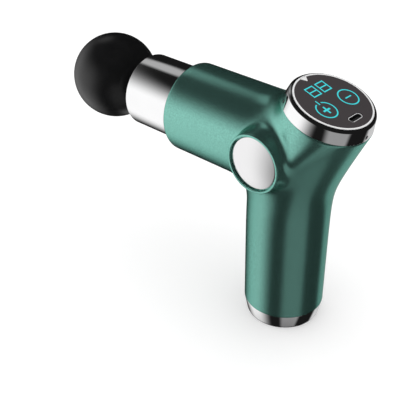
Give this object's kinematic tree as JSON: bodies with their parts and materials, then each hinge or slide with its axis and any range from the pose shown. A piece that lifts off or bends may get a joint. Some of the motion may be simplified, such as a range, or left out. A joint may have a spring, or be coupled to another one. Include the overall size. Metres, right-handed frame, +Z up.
{
  "type": "massage gun",
  "caption": "Compact percussion massage gun: pistol-shaped housing, polished nose sleeve, pull-off ball head on a crank-driven plunger, tilted round touch display and a flat foot.",
  "frame": {"origin": "centre of the foot's bottom face, on the handle's axis", "axes": "+Z up along the handle, -X along the barrel towards the ball head, +Y to the right-hand side of the person who holds it"},
  "size_m": [0.1928, 0.0616, 0.137],
  "materials": {
    "housing_paint": "satin",
    "nose_metal": "polished",
    "chrome_trim": "polished",
    "plate_silver": "satin",
    "soft_black": "matte",
    "head_rubber": "matte",
    "stem_plastic": "matte",
    "inner_plastic": "matte",
    "bush_plastic": "matte",
    "cast_metal": "satin",
    "rod_metal": "satin",
    "steel": "satin",
    "motor_steel": "satin",
    "magnet": "matte",
    "copper": "satin",
    "brass": "satin",
    "display_glass": "gloss",
    "icon_light": "gloss",
    "board_green": "satin",
    "component_black": "matte",
    "cell_wrap": "satin",
    "lead_insulation": "matte",
    "cable_black": "matte"
  },
  "bodies": {
    "housing": {"left_housing": "housing_paint", "right_housing": "housing_paint", "left_side_plate": "plate_silver", "right_side_plate": "plate_silver", "shell_screws": "steel", "foot_ring": "chrome_trim", "foot_pad": "soft_black", "foot_screws": "steel", "nose_sleeve": "nose_metal", "nose_seal": "soft_black", "guide_cylinder": "inner_plastic", "guide_bushes": "bush_plastic", "damper_rings": "soft_black", "crank_frame": "cast_metal", "frame_screws": "steel", "shaft_bearings": "steel", "stator_core": "motor_steel", "stator_windings": "copper", "motor_can": "motor_steel", "display_ring": "chrome_trim", "ring_screws": "steel", "glass_bezel": "chrome_trim", "display_glass": "display_glass", "icon_windows": "icon_light", "usb_shell": "steel", "usb_tongue": "component_black", "display_board": "board_green", "digit_module": "component_black", "touch_springs": "steel", "board_screws": "steel", "battery_cells": "cell_wrap", "cell_tabs": "steel", "lower_cell_holder": "inner_plastic", "upper_cell_holder": "inner_plastic", "control_board": "board_green", "board_components": "component_black", "battery_leads": "lead_insulation", "motor_lead": "cable_black", "display_cable": "cable_black"},
    "rotor": {"rotor_bell": "motor_steel", "rotor_magnets": "magnet", "motor_shaft": "steel", "crank_disc": "steel", "counterweight": "brass"},
    "conrod": {"connecting_rod": "rod_metal", "big_end_bearing": "steel", "crank_pin": "steel"},
    "plunger": {"plunger": "inner_plastic", "wrist_pin": "steel"},
    "head": {"head_ball": "head_rubber", "head_stem": "stem_plastic", "stem_o_rings": "soft_black"}
  },
  "joints": [
    {"name": "rotor_spin", "type": "hinge", "parent": "housing", "child": "rotor", "pos_m": [0, 0, 0.1], "axis": [0, 1, 0], "continuous": true},
    {"name": "plunger_stroke", "type": "slide", "parent": "housing", "child": "plunger", "axis": [-1, 0, 0], "range_m": [-0.00374, 0.00425]},
    {"name": "conrod_swing", "type": "hinge", "parent": "plunger", "child": "conrod", "pos_m": [-0.03175, 0, 0.1], "axis": [0, 1, 0], "range_deg": [0, 14.3]},
    {"name": "head_pull", "type": "slide", "parent": "plunger", "child": "head", "axis": [-1, 0, 0], "range_m": [0, 0.03]}
  ]
}
